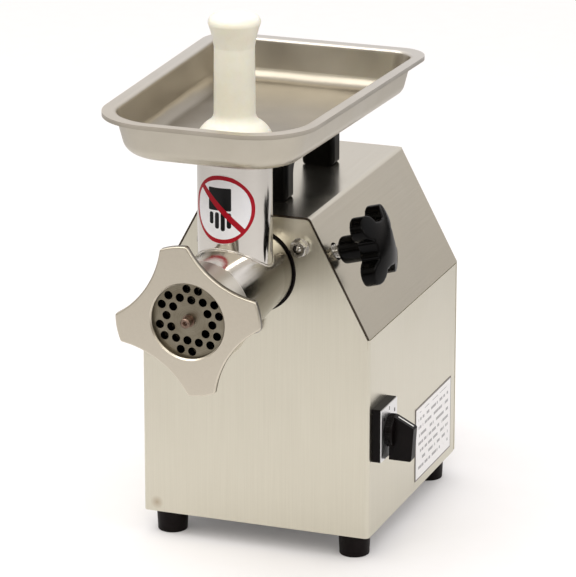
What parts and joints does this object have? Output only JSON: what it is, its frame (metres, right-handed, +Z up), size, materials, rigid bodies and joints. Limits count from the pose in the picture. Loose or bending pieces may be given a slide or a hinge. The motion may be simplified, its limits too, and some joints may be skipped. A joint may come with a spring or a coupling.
{
  "type": "electric meat grinder",
  "caption": "Table-top electric meat grinder: folded steel body, clamped barrel with worm and plate, lobed ring nut, feed tube with tray and pusher.",
  "frame": {"origin": "on the floor under the middle of the body, between the four feet", "axes": "+Z up, -Y towards the ring nut, +X to the side with the switch and the clamp"},
  "size_m": [0.2312, 0.4018, 0.467],
  "materials": {
    "brushed_stainless": "brushed stainless sheet, satin",
    "polished_stainless": "polished stainless, food grade",
    "machine_steel": "machined steel",
    "zinc_steel": "zinc plated steel",
    "cast_alloy": "sand-cast, as cast",
    "black_plastic": "moulded, fine matt texture",
    "grey_plastic": "moulded",
    "milky_plastic": "polyethylene, milky, semi-gloss",
    "black_rubber": "moulded rubber",
    "copper_winding": "varnished winding",
    "sticker_vinyl": "printed vinyl",
    "nylon": "nylon"
  },
  "bodies": {
    "housing": {"body_shell": "brushed_stainless", "hood": "brushed_stainless", "rear_cover": "brushed_stainless", "rear_cover_screws": "zinc_steel", "base_pan": "zinc_steel", "foot_front_left": "black_rubber", "foot_front_right": "black_rubber", "foot_rear_left": "black_rubber", "foot_rear_right": "black_rubber", "foot_screws": "zinc_steel", "carry_handle": "black_plastic", "handle_screws": "zinc_steel", "rating_plate": "sticker_vinyl", "neck_seal": "black_rubber", "neck_studs": "zinc_steel", "neck_nuts": "zinc_steel", "gearbox_case": "cast_alloy", "gearbox_cover": "cast_alloy", "gearbox_screws": "zinc_steel", "output_bearings": "machine_steel", "layshaft_bearings": "machine_steel", "motor_front_bell": "cast_alloy", "motor_rear_bell": "cast_alloy", "motor_case": "zinc_steel", "motor_tie_bolts": "zinc_steel", "stator_core": "machine_steel", "stator_windings": "copper_winding", "motor_bearings": "machine_steel", "motor_bracket": "zinc_steel", "capacitor": "grey_plastic", "capacitor_clip": "zinc_steel", "terminal_block": "nylon", "cable_gland": "black_plastic", "switch_body": "black_plastic", "switch_plate": "polished_stainless"},
    "output": {"output_shaft": "machine_steel", "output_gear": "machine_steel"},
    "layshaft": {"layshaft": "machine_steel", "layshaft_gear": "machine_steel"},
    "rotor": {"motor_shaft": "machine_steel", "rotor_core": "machine_steel", "motor_fan": "black_plastic"},
    "head": {"barrel": "polished_stainless", "feed_tube": "polished_stainless", "perforated_plate": "machine_steel", "plate_key": "machine_steel", "thrust_washer": "nylon", "tube_sticker": "sticker_vinyl"},
    "worm": {"worm": "polished_stainless", "worm_stud": "machine_steel", "knife": "machine_steel"},
    "ring_nut": {"ring_nut": "polished_stainless"},
    "tray": {"tray": "polished_stainless", "tray_collar": "polished_stainless"},
    "pusher": {"pusher": "milky_plastic"},
    "clamp": {"clamp_screw": "zinc_steel", "clamp_knob": "black_plastic"},
    "switch": {"switch_knob": "black_plastic", "switch_spindle": "machine_steel"}
  },
  "joints": [
    {"name": "output_spin", "type": "hinge", "parent": "housing", "child": "output", "pos_m": [0, 0, 0.2436], "axis": [0, 1, 0], "continuous": true},
    {"name": "layshaft_spin", "type": "hinge", "parent": "housing", "child": "layshaft", "pos_m": [0, 0, 0.1936], "axis": [0, 1, 0], "continuous": true},
    {"name": "rotor_spin", "type": "hinge", "parent": "housing", "child": "rotor", "pos_m": [0, 0, 0.15385], "axis": [0, 1, 0], "continuous": true},
    {"name": "head_slide", "type": "slide", "parent": "housing", "child": "head", "axis": [0, -1, 0], "range_m": [0, 0.065]},
    {"name": "worm_spin", "type": "hinge", "parent": "head", "child": "worm", "pos_m": [0, -0.15, 0.2436], "axis": [0, 1, 0], "continuous": true},
    {"name": "ring_nut_turn", "type": "hinge", "parent": "head", "child": "ring_nut", "pos_m": [0, -0.25, 0.2436], "axis": [0, -1, 0], "range_deg": [0, 720]},
    {"name": "tray_lift", "type": "slide", "parent": "head", "child": "tray", "axis": [0, 0, 1], "range_m": [0, 0.04]},
    {"name": "pusher_lift", "type": "slide", "parent": "tray", "child": "pusher", "axis": [0, 0, 1], "range_m": [0, 0.15]},
    {"name": "clamp_turn", "type": "hinge", "parent": "housing", "child": "clamp", "pos_m": [0, -0.0975, 0.2436], "axis": [0.9659, 0, 0.2588], "range_deg": [0, 720]},
    {"name": "switch_turn", "type": "hinge", "parent": "housing", "child": "switch", "pos_m": [0.1, -0.0885, 0.1093], "axis": [1, 0, 0], "range_deg": [-60, 60]}
  ],
  "couplings": [
    {"joint": "layshaft_spin", "follows": "output_spin", "ratio": -2.5714},
    {"joint": "rotor_spin", "follows": "output_spin", "ratio": 7.9121},
    {"joint": "worm_spin", "follows": "output_spin", "ratio": 1}
  ]
}
